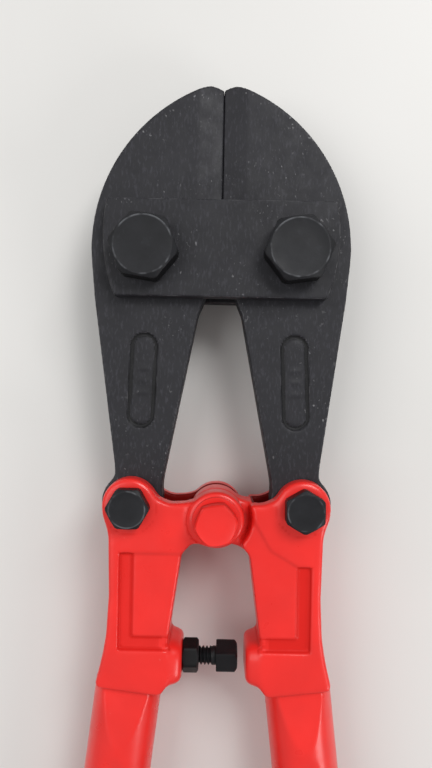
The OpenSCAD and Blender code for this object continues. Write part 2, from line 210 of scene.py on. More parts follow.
def add_mesh(name, points, faces, wear_and_shade=None, crease_deg=None):
    """Makes a mesh object from points in millimetres about the middle plane, and quads or lists of faces."""
    mesh = bpy.data.meshes.new(name)
    places = np.asarray(points, float).reshape(-1, 3) * MM
    places[:, 2] += LIFT * MM
    mesh.from_pydata(places.tolist(), [], [list(f) for f in faces])
    mesh.polygons.foreach_set("use_smooth", np.ones(len(mesh.polygons), bool))
    if crease_deg:
        mesh.set_sharp_from_angle(angle=math.radians(crease_deg))
    # The attribute holds worn edges as positive values, and hollows, which the finishes paint with shade, as
    # negative ones.
    if wear_and_shade is not None:
        layer = mesh.attributes.new("wear_and_shade", "FLOAT", "POINT")
        layer.data.foreach_set("value", np.asarray(wear_and_shade, np.float32).ravel())
    mesh.validate()
    mesh.update()
    piece = bpy.data.objects.new(name, mesh)
    bpy.context.scene.collection.objects.link(piece)
    return piece


def round_angles(steps):
    """Evenly spaced angles round a circle."""
    return np.arange(steps) * 2 * math.pi / steps


def grid_faces(rows, columns, close_rows):
    """Quads of a grid whose columns run round a closed ring; rows may close on themselves too."""
    r = np.arange(rows if close_rows else rows - 1)[:, None]
    c = np.arange(columns)[None, :]
    r2, c2 = (r + 1) % rows, (c + 1) % columns
    quads = np.stack([r * columns + c, r * columns + c2, r2 * columns + c2, r2 * columns + c], -1)
    return quads.reshape(-1, 4).tolist()


def ring_solid(name, rings, wear_and_shade, place, crease_deg, closed=False):
    """A solid of rings, each an array of points round the same closed loop, from one end to the other.

    Each end is closed by one flat face, or the last ring joins the first where the solid is a closed band.
    place turns and moves the points before they are written.
    """
    rings = np.asarray(rings, float)
    rows, columns = rings.shape[:2]
    faces = grid_faces(rows, columns, closed)
    if not closed:
        faces += [list(range(columns))[::-1], list(range((rows - 1) * columns, rows * columns))]
    spread = None if wear_and_shade is None else np.broadcast_to(np.asarray(wear_and_shade, float)[:, None], (rows, columns))
    return add_mesh(name, place(rings.reshape(-1, 3)), faces, spread, crease_deg)


def turned(profile, steps=72, radius=None):
    """Rings of a turned shape: each profile row (r, z) becomes a circle of radius r at the height z.

    radius, where given, takes the angles and the row's r and returns the radius at each angle.
    """
    angles = round_angles(steps)
    profile = np.asarray(profile, float)
    r = np.repeat(profile[:, :1], steps, 1)
    if radius is not None:
        r = radius(angles[None, :], r)
    z = np.repeat(profile[:, 1:2], steps, 1)
    return np.stack([r * np.cos(angles), r * np.sin(angles), z], -1)


def join(name, pieces):
    """Joins several mesh objects into the first and gives it the name."""
    bpy.ops.object.select_all(action="DESELECT")
    for piece in pieces:
        piece.select_set(True)
    bpy.context.view_layer.objects.active = pieces[0]
    bpy.ops.object.join()
    pieces[0].name = name
    pieces[0].data.name = name
    return pieces[0]


def settle(piece, body, node, slot):
    """Gives a finished piece its slot's material and its body, and hides the CAD node that it stands for."""
    piece.data.materials.clear()
    piece.data.materials.append(material(slot))
    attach(piece, body)
    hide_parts(node)


# ---- distance fields

def polygon_distance(x, y, corners):
    """Signed distance from each point to a polygon, negative inside: the least distance to any edge, with
    the sign turned at every edge that a line to the right of the point crosses."""
    corners = np.asarray(corners, float)
    nearest = np.full(x.shape, 1e9)
    inside = np.zeros(x.shape, bool)
    for (ax, ay), (bx, by) in zip(corners, np.roll(corners, -1, 0)):
        ex, ey = bx - ax, by - ay
        wx, wy = x - ax, y - ay
        t = np.clip((wx * ex + wy * ey) / (ex * ex + ey * ey), 0, 1)
        nearest = np.minimum(nearest, np.hypot(wx - t * ex, wy - t * ey))
        if ey != 0:
            crosses = (ay > y) != (by > y)
            inside ^= crosses & (x < ex * (y - ay) / ey + ax)
    return np.where(inside, -nearest, nearest)


def plan_distance(x, y, corners):
    """The same for whole grids, worked out once in the plane and spread over every height."""
    return polygon_distance(x[:, :, 0], y[:, :, 0], corners)[:, :, None]


def soft_min(a, b, k):
    """The lesser of two fields, blended by a fillet of about the size k where they meet."""
    h = np.clip(0.5 + 0.5 * (b - a) / k, 0, 1)
    return b + (a - b) * h - k * h * (1 - h)


def blurred(field, cells):
    """A field averaged with a bell-shaped weight of the given spread in cells, along each axis in turn."""
    reach = int(math.ceil(2.5 * cells))
    taps = np.exp(-0.5 * (np.arange(-reach, reach + 1) / cells) ** 2)
    taps /= taps.sum()
    for axis in range(3):
        padded = np.pad(field, [(reach, reach) if a == axis else (0, 0) for a in range(3)], mode="edge")
        size = field.shape[axis]
        field = sum(w * padded.take(range(i, i + size), axis) for i, w in enumerate(taps))
    return field


def field_grid(low, high, step):
    """The lowest corner and the three coordinate arrays of a grid that covers a box with room to spare."""
    low = np.asarray(low, float) - 3 * step
    count = np.ceil((np.asarray(high, float) + 3 * step - low) / step).astype(int) + 1
    axes = [low[a] + step * np.arange(count[a]) for a in range(3)]
    return low, np.meshgrid(*axes, indexing="ij")


def field_piece(name, field, low, step, wear_and_shade_field):
    """The surface where a field is zero.

    Each grid cell that the surface passes through gets one point, the mean of the places where the field
    changes sign along the cell's edges. Each grid edge with a change of sign gets a quad that joins the
    four cells round it, turned to face out of the side where the field is negative.
    """
    inside = field < 0
    count = np.array(field.shape)
    corner = [(i, j, k) for i in (0, 1) for j in (0, 1) for k in (0, 1)]

    def at(values, offset):
        return values[tuple(slice(o, n - 1 + o) for o, n in zip(offset, count))]

    found = sum(at(inside, c).astype(np.int8) for c in corner)
    cells = np.argwhere((found > 0) & (found < 8))
    index = np.full(count - 1, -1)
    index[tuple(cells.T)] = np.arange(len(cells))
    total = np.zeros((len(cells), 3))
    hits = np.zeros(len(cells))
    for a in corner:
        for axis in range(3):
            if a[axis]:
                continue
            step_to = np.eye(3, dtype=int)[axis]
            here, there = cells + a, cells + a + step_to
            fa, fb = field[tuple(here.T)], field[tuple(there.T)]
            crossing = (fa < 0) != (fb < 0)
            t = np.where(crossing, fa / np.where(crossing, fa - fb, 1), 0)
            total += np.where(crossing[:, None], here + t[:, None] * step_to, 0)
            hits += crossing
    points = np.asarray(low) + total / hits[:, None] * step
    quads = []
    for axis in range(3):
        u, v = [a for a in range(3) if a != axis]
        first = inside.take(range(count[axis] - 1), axis)
        second = inside.take(range(1, count[axis]), axis)
        for sign, found in ((1, first & ~second), (-1, ~first & second)):
            edges = np.argwhere(found)
            eu, ev = np.eye(3, dtype=int)[u], np.eye(3, dtype=int)[v]
            around = [edges - eu - ev, edges - ev, edges, edges - eu]
            quad = np.stack([index[tuple(cell.T)] for cell in around], -1)
            flip = (sign < 0) != (axis == 1)
            quads.append(quad[:, ::-1] if flip else quad)
    wear_and_shade = wear_and_shade_field[tuple(np.rint(total / hits[:, None]).astype(int).T)]
    return add_mesh(name, points, np.concatenate(quads).tolist(), wear_and_shade)


def mirrored(piece, name):
    """A copy of a piece mirrored across the tool's middle, with its faces turned to stay outward."""
    mesh = piece.data.copy()
    mesh.name = name
    count = len(mesh.vertices)
    places = np.empty(count * 3, np.float32)
    mesh.vertices.foreach_get("co", places)
    places[0::3] *= -1
    mesh.vertices.foreach_set("co", places)
    mesh.flip_normals()
    mesh.update()
    copy = bpy.data.objects.new(name, mesh)
    bpy.context.scene.collection.objects.link(copy)
    return copy


# ---- finishes

class Finish:
    """A material under construction: short calls that add a node and join it."""

    def __init__(self, name):
        self.material = bpy.data.materials.new(name)
        self.material.use_nodes = True
        self.tree = self.material.node_tree
        self.shader = self.tree.nodes["Principled BSDF"]
        self.coords = self.node("ShaderNodeTexCoord").outputs["Object"]

    def node(self, kind, values=None, **settings):
        """Adds a node, applies its settings, and sets or joins the inputs that values names."""
        made = self.tree.nodes.new(kind)
        for key, value in settings.items():
            setattr(made, key, value)
        for key, value in (values or {}).items():
            if isinstance(value, bpy.types.NodeSocket):
                self.tree.links.new(value, made.inputs[key])
            else:
                made.inputs[key].default_value = value
        return made

    def noise(self, scale, detail=3.0, rough=0.5, stretch=None, distortion=0.0):
        """Noise in the object's own space; scale is in features per metre."""
        vector = self.coords
        if stretch is not None:
            vector = self.node("ShaderNodeMapping", {"Vector": self.coords, "Scale": stretch[0],
                                                     "Rotation": stretch[1]}).outputs["Vector"]
        return self.node("ShaderNodeTexNoise", {"Vector": vector, "Scale": scale, "Detail": detail,
                                                "Roughness": rough, "Distortion": distortion}).outputs["Fac"]

    def ramp(self, value, low, high, out_low=0.0, out_high=1.0):
        """Spreads the part of a value between low and high over the output range."""
        return self.node("ShaderNodeMapRange", {"Value": value, "From Min": low, "From Max": high,
                                                "To Min": out_low, "To Max": out_high},
                         clamp=True).outputs["Result"]

    def maths(self, kind, a, b):
        """One sum of two values or sockets."""
        return self.node("ShaderNodeMath", {0: a, 1: b}, operation=kind).outputs[0]

    def mix(self, amount, first, second):
        """A colour between two, by an amount that comes from a socket."""
        made = self.node("ShaderNodeMix", data_type="RGBA")
        for socket, value in (("Factor", amount), ("A", first), ("B", second)):
            target = next(s for s in made.inputs if s.name == socket and s.enabled)
            if isinstance(value, bpy.types.NodeSocket):
                self.tree.links.new(value, target)
            else:
                target.default_value = (*value, 1.0)
        return next(s for s in made.outputs if s.enabled)

    def cover(self, tone, amount, share, colour):
        """A tone partly covered by a colour, by a share of an amount."""
        return self.mix(self.maths("MULTIPLY", amount, share), tone, colour)

    def worn(self, low, high, out_low=0.0, out_high=1.0):
        """The mesh attribute of worn edges and painted shade, spread out: positive on worn edges, and
        negative in hollows, which get painted shade.
        """
        wear_and_shade = self.node("ShaderNodeAttribute", attribute_name="wear_and_shade").outputs["Fac"]
        return self.ramp(wear_and_shade, low, high, out_low, out_high)

    def bump(self, height, strength, distance, under=None):
        """A normal tilted by a height, over another normal where one is given."""
        values = {"Height": height, "Strength": strength, "Distance": distance}
        if under is not None:
            values["Normal"] = under
        return self.node("ShaderNodeBump", values).outputs["Normal"]

    def set(self, **values):
        """Sets or joins the shader's own sockets; underscores stand for the spaces in their names."""
        for key, value in values.items():
            socket = self.shader.inputs[key.replace("_", " ")]
            if isinstance(value, bpy.types.NodeSocket):
                self.tree.links.new(value, socket)
            else:
                socket.default_value = value
        return self.material


def scaled(colour, by):
    """A colour made lighter or darker by a factor."""
    return tuple(min(c * by, 1.0) for c in colour)


def forged_oxide(name, colour, dust):
    """Satin black oxide on forged steel: a mottled tone, rubbed streaks, patches of dust specks, painted
    shade in hollows and in the recess grooves, and worn edges."""
    m = Finish(name)
    mottle = m.ramp(m.noise(90, 4, 0.6), 0.3, 0.7)
    tone = m.mix(mottle, scaled(colour, 0.88), scaled(colour, 1.18))
    rubbed = m.ramp(m.noise(1700, 2, 0.6, ((1, 0.30, 1), (0, 0, 0.05))), 0.53, 0.70)
    tone = m.cover(tone, rubbed, 0.5, scaled(colour, 2.9))
    streak = m.ramp(m.noise(60, 2, 0.5, ((60, 1.6, 1), (0, 0, 0.5)), 0.3), 0.70, 0.78)
    tone = m.cover(tone, streak, 0.3, scaled(colour, 2.6))
    speck = m.ramp(m.noise(1500, 1, 0.5, ((1, 0.6, 1), (0, 0, 0.1))), 0.70 - 0.04 * dust, 0.80 - 0.04 * dust)
    patch = m.ramp(m.noise(75, 2, 0.5), 0.46, 0.62)
    speck = m.maths("MULTIPLY", m.maths("MULTIPLY", speck, patch), 0.42)
    tone = m.mix(speck, tone, (0.36, 0.36, 0.37))
    # Painted shade: inside corners and the recess grooves are darkened nearly to black.
    hollow = m.worn(-0.8, -0.15, 1.0, 0.0)
    tone = m.cover(tone, hollow, 0.85, scaled(colour, 0.12))
    broken = m.ramp(m.noise(230, 3, 0.6), 0.42, 0.62)
    edge = m.maths("MULTIPLY", m.worn(0.35, 1.0), broken)
    tone = m.mix(m.maths("MULTIPLY", edge, 0.5 * finish().wear_and_shade), tone, (0.22, 0.22, 0.23))
    grain = m.noise(1400, 3, 0.6)
    ripple = m.bump(m.noise(160, 2, 0.5), 0.10, 0.0006)
    satin = m.ramp(m.noise(240, 3, 0.6), 0.3, 0.7, 0.52, 0.66)
    rough = m.maths("ADD", satin, m.maths("MULTIPLY", speck, 0.3))
    return m.set(Base_Color=tone, Roughness=rough, Metallic=0.0, Specular_IOR_Level=0.32,
                 Normal=m.bump(grain, 0.16, 0.00012, ripple))


def enamel(name, colour, peel):
    """Glossy enamel: a slight orange peel and small pits, with painted shade that makes hollows dark and
    dull, and painted shade nearly black deep inside a fork."""
    m = Finish(name)
    tone = m.mix(m.ramp(m.noise(70, 3, 0.5), 0.3, 0.7), scaled(colour, 0.93), scaled(colour, 1.05))
    # Painted shade: hollows and grooves are darkened and lose their gloss.
    hollow = m.worn(-0.9, -0.15, 1.0, 0.0)
    tone = m.cover(tone, hollow, 0.5, scaled(colour, 0.6))
    # Painted shade: deep inside the fork, the throat and the slot the enamel goes nearly black.
    deep = m.worn(-2.0, -1.2, 1.0, 0.0)
    tone = m.cover(tone, deep, 0.9, scaled(colour, 0.12))
    pits = m.ramp(m.noise(900, 2, 0.5), 0.76, 0.82)
    tone = m.cover(tone, pits, 0.25, (0.95, 0.35, 0.30))
    rough = m.ramp(m.noise(180, 2, 0.5), 0.3, 0.7, 0.27, 0.38)
    open_face = m.maths("SUBTRACT", 1.0, m.maths("MULTIPLY", hollow, 0.85))
    peel_bump = m.bump(m.noise(330, 2, 0.5), 0.10 * peel, 0.0005)
    lumps = m.bump(m.noise(95, 2, 0.5), 0.12 * peel, 0.0012, peel_bump)
    return m.set(Base_Color=tone, Roughness=rough, Normal=lumps, Coat_Roughness=0.16,
                 Coat_Weight=m.maths("MULTIPLY", open_face, 0.18),
                 Specular_IOR_Level=m.maths("MULTIPLY", open_face, 0.35))


def fastener_oxide(name, colour):
    """Black oxide on a bolt: smooth and dark, with painted shade down its sides and next to its seat, and a
    broken worn line along each chamfer."""
    m = Finish(name)
    tone = m.mix(m.ramp(m.noise(160, 3, 0.6), 0.3, 0.7), scaled(colour, 0.8), scaled(colour, 1.3))
    smudge = m.ramp(m.noise(420, 3, 0.6), 0.58, 0.74)
    tone = m.cover(tone, smudge, 0.3, scaled(colour, 2.6))
    # Painted shade: the sides of heads and nuts and the foot of a head are darkened.
    side = m.worn(-0.8, -0.2, 1.0, 0.0)
    tone = m.cover(tone, side, 0.85, scaled(colour, 0.2))
    broken = m.ramp(m.noise(260, 2, 0.6), 0.45, 0.62)
    worn = m.maths("MULTIPLY", m.worn(0.3, 1.0), m.maths("ADD", broken, 0.05))
    tone = m.mix(m.maths("MULTIPLY", worn, 0.1 + 0.5 * finish().wear_and_shade), tone, (0.25, 0.26, 0.28))
    rough = m.ramp(m.noise(260, 3, 0.6), 0.3, 0.7, 0.42, 0.56)
    return m.set(Base_Color=tone, Roughness=rough, Metallic=0.0, Specular_IOR_Level=0.26,
                 Normal=m.bump(m.noise(900, 3, 0.6), 0.14, 0.00015))


def moulded_vinyl(name, colour):
    """Matt moulded vinyl: a fine leathery grain and slight scuffs."""
    m = Finish(name)
    tone = m.mix(m.ramp(m.noise(60, 3, 0.6), 0.35, 0.7), scaled(colour, 0.85), scaled(colour, 1.5))
    scuff = m.ramp(m.noise(50, 3, 0.6, ((1, 14, 1), (0, 0, 0.12)), 0.4), 0.62, 0.75)
    tone = m.cover(tone, scuff, 0.25, scaled(colour, 4.0))
    rough = m.ramp(m.noise(400, 3, 0.6), 0.3, 0.7, 0.52, 0.68)
    return m.set(Base_Color=tone, Roughness=rough, Specular_IOR_Level=0.45,
                 Normal=m.bump(m.noise(1500, 3, 0.65), 0.35, 0.00025))


def table_top(name):
    """A pale painted table: nearly plain, with the faintest variation."""
    m = Finish(name)
    tone = m.mix(m.ramp(m.noise(7, 3, 0.5), 0.3, 0.7), (0.66, 0.65, 0.63), (0.70, 0.69, 0.67))
    return m.set(Base_Color=tone, Roughness=0.55, Normal=m.bump(m.noise(300, 3, 0.5), 0.05, 0.0003))


_made = {}


def material(name):
    """The material of a slot, or the table's, made the first time that it is asked for."""
    look = finish()
    makers = {
        "jaw_black": (forged_oxide, look.forging, look.dust),
        "plate_black": (forged_oxide, scaled(look.forging, 0.93), 0.6 * look.dust),
        "bolt_black": (fastener_oxide, look.fastener),
        "screw_black": (fastener_oxide, scaled(look.fastener, 0.55)),
        "cast_red": (enamel, look.enamel, 1.6),
        "tube_red": (enamel, look.enamel, 0.7),
        "grip_black": (moulded_vinyl, look.grip),
        "table_top": (table_top,),
    }
    if name not in _made:
        make, *settings = makers[name]
        _made[name] = make(name, *settings)
    return _made[name]


# ---- jaws and side plates

def arc(cx, cy, r, start_deg, end_deg, count):
    """Points along an arc, from one angle to another."""
    a = np.radians(np.linspace(start_deg, end_deg, count))
    return np.stack([cx + r * np.cos(a), cy + r * np.sin(a)], -1)


def ogive():
    """Centre and radius of the arc that bounds a jaw: it is upright at its widest level, and would meet
    the other jaw's arc a little beyond the tips."""
    widest = JAW_PIVOT[1] + 1.7
    rise = TIP_Y + OGIVE_OVER - widest
    radius = (HALF_WIDTH ** 2 + rise ** 2) / (2 * HALF_WIDTH)
    return np.array([HALF_WIDTH - radius, widest]), radius


def jaw_corners():
    """Corners of the right jaw's outline: ogive, tail, inner side and the rounded tip."""
    (cx, cy), radius = ogive()
    foot = PLATE_LOW[1]
    lug = LUG_R
    start = math.degrees(math.asin((JAW_PIVOT[1] - 4.3 - cy) / radius))
    end = math.degrees(math.asin((TIP_Y - cy) / radius))
    outer = arc(cx, cy, radius, start, end, 60)
    tip = arc(TIP_R / 2, TIP_Y - TIP_R, TIP_R, 90, 119, 12)
    tail = [(TAIL[0] + 0.6 * lug, TAIL[1] + 1.3 * lug), (TAIL[0] + 0.5 * lug, TAIL[1]),
            (TAIL[0] - 0.9 * lug, TAIL[1]), (TAIL[0] - lug - 0.3, TAIL[1] + 0.9 * lug)]
    blade = EDGE - BLADE_SPARE
    inner = [(5.9, foot - 4), (4.2, foot), (1.2, JAW_PIVOT[1]), (blade, JAW_PIVOT[1] + 5.7),
             (blade, TIP_Y - TIP_R * 0.125)]
    shoulder = [(HALF_WIDTH - 1.15, JAW_PIVOT[1] - 12.3)]
    return np.array(inner + tip[::-1].tolist() + outer[::-1].tolist() + shoulder + tail)


def recess_depth(x, y, size):
    """Distance to the recess's rim, its depth at each place, and how far each place is in the rim's groove,
    which also marks where the jaw's finish paints shade.

    The floor is shallow. A bell-shaped groove runs round it just inside the rim, and a row of plain bars
    rises from it."""
    middle = (TAIL + JAW_PIVOT) / 2 + np.array([-0.8, -0.6])
    lean = math.radians(1.8)
    along = -(x - middle[0]) * math.sin(lean) + (y - middle[1]) * math.cos(lean)
    across = (x - middle[0]) * math.cos(lean) + (y - middle[1]) * math.sin(lean)
    run = (size.recess_length - size.recess_width) / 2
    rim = np.hypot(np.maximum(np.abs(along) - run, 0), across) - size.recess_width / 2
    bar = np.maximum(np.abs(across) - 1.5, np.abs((along + 1.6) % 3.2 - 1.6) - 0.55)
    bar = np.clip(0.5 - np.maximum(bar, np.abs(along) - 4.8) / 0.6, 0, 1)
    groove = np.exp(-((rim + 0.72) / 0.52) ** 2)
    return rim, np.clip(-rim / 0.3, 0, 1) * (0.22 + 0.62 * groove - 0.2 * bar), groove


def jaw_piece(name, lean):
    """The right jaw: its outline cut from plate, bevelled along the cutting edge on both faces, with the
    recess in the tail, softened edges and two bores.

    The cutting edge's own face leans very slightly, by x = lean times z, one way on one jaw and the other
    way on its mirror image, so that the two faces stay parallel."""
    size = sizes()
    low, (x, y, z) = field_grid((*JAW_LOW[:2], -HALF_JAW), (*JAW_HIGH[:2], HALF_JAW), JAW_STEP)
    flat_x, flat_y = x[:, :, :1], y[:, :, :1]
    lug = np.hypot(flat_x - TAIL[0], flat_y - TAIL[1]) - LUG_R
    outline = soft_min(plan_distance(x, y, jaw_corners()), lug, 1.5)
    near_tip = np.clip((flat_y - TIP_Y + 3.5) / 1.5, 0, 1)
    outline = outline + (blurred(outline, 0.8 / JAW_STEP) - outline) * near_tip
    solid = np.maximum(outline, np.abs(z) - HALF_JAW)
    run = size.bevel_width - EDGE
    slope = math.hypot(run, size.bevel_depth)
    bevel = ((np.abs(z) - HALF_JAW) * run - (x - size.bevel_width) * size.bevel_depth) / slope
    solid = np.maximum(solid, np.minimum(bevel, y - (JAW_PIVOT[1] + BLADE_FROM)))
    rim, depth, groove = recess_depth(x, y, size)
    recess = np.maximum(rim, (HALF_JAW - depth) - np.abs(z))
    solid = np.maximum(solid, -recess)
    soft = blurred(solid, size.forge_round / JAW_STEP)
    # Positive on worn edges; negative in inside corners and strongly negative along the recess groove near
    # the faces, which the finish paints with shade.
    wear_and_shade = (soft - solid) / FORGE_WEAR - 1.4 * np.where(np.abs(z) > HALF_JAW - 1.4, groove, 0)
    soft = np.maximum(soft, EDGE + lean * z - x)
    for pivot, bore in ((JAW_PIVOT, JAW_BORE_R), (TAIL, OPEN_BORE_R)):
        soft = np.maximum(soft, bore - np.hypot(x - pivot[0], y - pivot[1]))
    return field_piece(name, soft, low, JAW_STEP, wear_and_shade)


def plate_piece(name, z_low, z_high):
    """A side plate: two side arcs, flat top and foot, cut lower corners, softened edges, two bores."""
    middle, half = (z_low + z_high) / 2, (z_high - z_low) / 2
    low, (x, y, z) = field_grid((*PLATE_LOW[:2], z_low), (*PLATE_HIGH[:2], z_high), JAW_STEP)
    half_w = PLATE_HIGH[0]
    side = np.hypot(np.abs(x) - (half_w - PLATE_ARC_R), y - (JAW_PIVOT[1] + 4.7)) - PLATE_ARC_R
    corner = (np.abs(x) - half_w + PLATE_CUT_X) * PLATE_CUT_Y - (y - PLATE_LOW[1]) * PLATE_CUT_X
    corner = corner / math.hypot(PLATE_CUT_Y, PLATE_CUT_X)
    outline = np.maximum(np.maximum(side, corner), np.maximum(y - PLATE_HIGH[1], PLATE_LOW[1] - y))
    solid = np.maximum(outline, np.abs(z - middle) - half)
    soft = blurred(solid, sizes().forge_round / JAW_STEP)
    wear_and_shade = (soft - solid) / FORGE_WEAR
    bore = JAW_BORE_R - np.hypot(np.abs(x) - JAW_PIVOT[0], y - JAW_PIVOT[1])
    return field_piece(name, np.maximum(soft, bore), low, JAW_STEP, wear_and_shade)


# ---- castings

def cast_outline(x, y):
    """Signed distance to the right casting's outline, without its boss: arm, leg, foot and round ear."""
    out = TAIL[0] + 5.1
    foot_out, foot_in = TAIL[0] + 8.2, TAIL[0] - 8.9
    start, lean = handle_axis()
    boss_top = -(STOP_Y - 5.6)

    def end(at):
        return FOOT_RISE + start[1] + (at - start[0]) * math.tan(lean)

    corners = [
        (-4, WINDOW_TOP), (-4, 5.6), (4, 5.2), (8, 4.1), (12, 3.8), (TAIL[0] - 5.8, TAIL[1] + 2.6),
        (TAIL[0], TAIL[1]), (TAIL[0] + 6.8, TAIL[1] - 2.4), (out + 0.4, TAIL[1] - 8), (out, boss_top + 13),
        (out + 0.5, boss_top + 3), (out + 1.2, -STOP_Y + 4), (foot_out - 0.9, -STOP_Y - 0.6),
        (foot_out, 3.6 - CAST_END), (foot_out, end(foot_out)), (foot_in, end(foot_in)),
        (BOSS_X + 3.4, -STOP_Y - 4.6), (BOSS_X + 3.4, boss_top), (TAIL[0] - 10.5, boss_top),
        (TAIL[0] - 13.8, WINDOW_TOP - 3), (TAIL[0] - 16.4, WINDOW_TOP)]
    leg = polygon_distance(x, y, corners)
    ear = np.hypot(x - TAIL[0], y - TAIL[1]) - EAR_R
    return soft_min(leg, ear, 1.2)


def casting_field(x, y, z, fork):
    """The painted casting. The outline, the pads and the boss are blurred together, so that edges are round
    and corners filled. The grooves and the panel are cut next and blurred a little. The fork, the throat
    and the bores are cut last and stay crisp."""
    size = sizes()
    outline = cast_outline(x[:, :, 0], y[:, :, 0])[:, :, None]
    from_centre = np.hypot(x, y)
    from_tail = np.hypot(x - TAIL[0], y - TAIL[1])
    height = np.where(from_tail < EAR_R - 0.3, HALF_CAST, HALF_CAST - 0.35)
    body = np.maximum(outline, np.abs(z) - height)
    inward = np.sqrt(np.clip((x - BOSS_X) / 3.5, 0, 1))
    across, upward = np.abs(y + STOP_Y) / (4.7 + 1.3 * inward), np.abs(z) / (6.8 + 1.6 * inward)
    squared = (across ** 4 + upward ** 4) ** 0.25
    ends = np.maximum(BOSS_X - x, x - BOSS_X - BOSS_LENGTH)
    body = np.minimum(body, np.maximum((squared - 1) * 7, ends))
    if fork:
        knuckle = np.maximum(from_centre - KNUCKLE_R, np.abs(z) - KNUCKLE_TOP)
        body = np.minimum(np.maximum(body, -x - 0.5), knuckle)
    else:
        swing = np.maximum(from_centre - KNUCKLE_R - 2.0, HALF_JAW - np.abs(z))
        under = [(1.5, -4), (2.5, -7.4), (6.4, -8.3), (8.4, -9.8), (9.7, -12.2), (11.5, -10), (9.5, -4)]
        web = plan_distance(x, y, under)
        tongue = np.maximum(soft_min(from_centre - KNUCKLE_R, web, 1.0), np.abs(z) - HALF_JAW)
        body = np.minimum(np.maximum(np.maximum(body, -swing), -x - 0.5), tongue)
    soft = blurred(body, size.cast_round / CAST_STEP)
    # Negative in inside corners, which the enamel paints with shade; the enamel doesn't use the positive
    # values on edges.
    wear_and_shade = (soft - body) / CAST_WEAR

    groove_x = TAIL[0] + 2.3
    top, foot = (-9.2 if fork else -12.2), -(STOP_Y - 4.8)
    upright = np.maximum(np.abs(x - (groove_x - 1.7)) - 1.7, np.maximum(y - top, foot - y))
    level = np.maximum(np.abs(y - (foot + 1.65)) - 1.65, np.maximum(x - groove_x, 11.2 - x))
    groove = np.maximum(np.minimum(upright, level), (HALF_CAST - size.groove_depth) - np.abs(z))
    edge, ledge = groove_x - GROOVE_W, foot + 3.3
    upper = [(0, top)] if fork else [(0, 1.0), (6, 1.0), (9.6, 0.2), (14.4, -8.0)]
    rim = upper + [(edge, top), (edge, ledge), (0, ledge)]
    panel = plan_distance(x, y, rim)
    panel = np.maximum(panel, (HALF_CAST - PANEL_DEPTH) - np.abs(z))
    soft = blurred(np.maximum(np.maximum(soft, -groove), -panel), GROOVE_ROUND / CAST_STEP)
    # The grooves are marked as hollows, which the enamel paints with shade.
    wear_and_shade = wear_and_shade - np.clip((0.45 - groove) / 0.45, 0, 1)

    reach = LUG_R + 1.7
    beside = np.minimum(from_tail - reach, np.maximum(TAIL[1] - y, TAIL[0] - reach - x))
    throat = np.minimum(beside, np.maximum(TAIL[1] - reach - y, TAIL[0] - x))
    slot_from = KNUCKLE_R / 2 if fork else ARM_SLOT_X
    slot = np.maximum(np.maximum(slot_from - x, x - TAIL[0]), ARM_SLOT_Y - y)
    hollow = np.minimum(throat, slot)
    if fork:
        hollow = np.minimum(hollow, from_centre - KNUCKLE_R - 0.8)
        soft = np.maximum(soft, -np.maximum(np.hypot(y + STOP_Y, z) - STOP_BORE_R, x - BOSS_X - 14))
    hollow = np.maximum(hollow, np.abs(z) - HALF_FORK)
    soft = np.maximum(soft, -hollow)
    # Inside the fork, the throat and the slot the mark is set deep, so the enamel paints shade nearly black
    # there.
    wear_and_shade = np.where(hollow < 0.45, DEEP_FORK_SHADE, wear_and_shade)
    bores = CAST_BORE_R - np.minimum(from_centre, from_tail)
    return np.maximum(soft, bores), wear_and_shade


def casting_piece(name, fork):
    """One casting in the right-hand frame, with the spigot left out because the tube hides it."""
    top = KNUCKLE_TOP if fork else HALF_CAST
    lowest, highest = (-KNUCKLE_R, -CAST_END - 1.2, -top), (CAST_HIGH[0], TAIL[1] + EAR_R, top)
    low, (x, y, z) = field_grid(lowest, highest, CAST_STEP)
    field, wear_and_shade = casting_field(x, y, z, fork)
    return field_piece(name, field, low, CAST_STEP, wear_and_shade)


# ---- fasteners

def sided_radius(af, sides=6, soft=0.0):
    """The radius of a regular prism at each angle: half its width across flats over the cosine of the angle
    from the nearest flat's middle, but never more than the row's own limit. Where soft isn't 0, the lesser
    of the two is a smooth one, which rounds the corners."""
    def radius(angles, limit):
        from_flat = (angles % (2 * math.pi / sides)) - math.pi / sides
        flat = af / 2 / np.cos(from_flat)
        if soft == 0:
            return np.minimum(flat, limit)
        power = 1 / soft
        return (flat ** -power + limit ** -power) ** -soft
    return radius


def hex_profile(af, low, high, low_chamfer):
    """Profile rows of a hexagon's outer side, whose limits fall along a cone at each chamfered end, and the
    value of each row for worn edges and painted shade: positive at the chamfer's rim, negative down the side
    and at an unchamfered end, which get painted shade."""
    corner = af / 2 / math.cos(math.pi / 6) * 0.965
    rim = af / 2 * CHAMFER_RIM
    fall = (corner - rim) * math.tan(math.radians(CHAMFER_DEG))
    cone = [(rim + (corner - rim) * t, fall * t) for t in np.linspace(0, 1, 6)]
    # Negative values down the side below each chamfer mark painted shade.
    cone_wear_and_shade = [1, 0.1, 0, 0, -0.3, -0.7]
    if low_chamfer:
        rows, wear_and_shade = [(r, low + h) for r, h in cone], cone_wear_and_shade
    else:
        # A plain end at a seat gets strong painted shade.
        rows, wear_and_shade = [(corner - 0.12, low), (corner, low + 0.12)], [-0.9, -0.9]
    return rows + [(r, high - h) for r, h in cone[::-1]], wear_and_shade + cone_wear_and_shade[::-1]


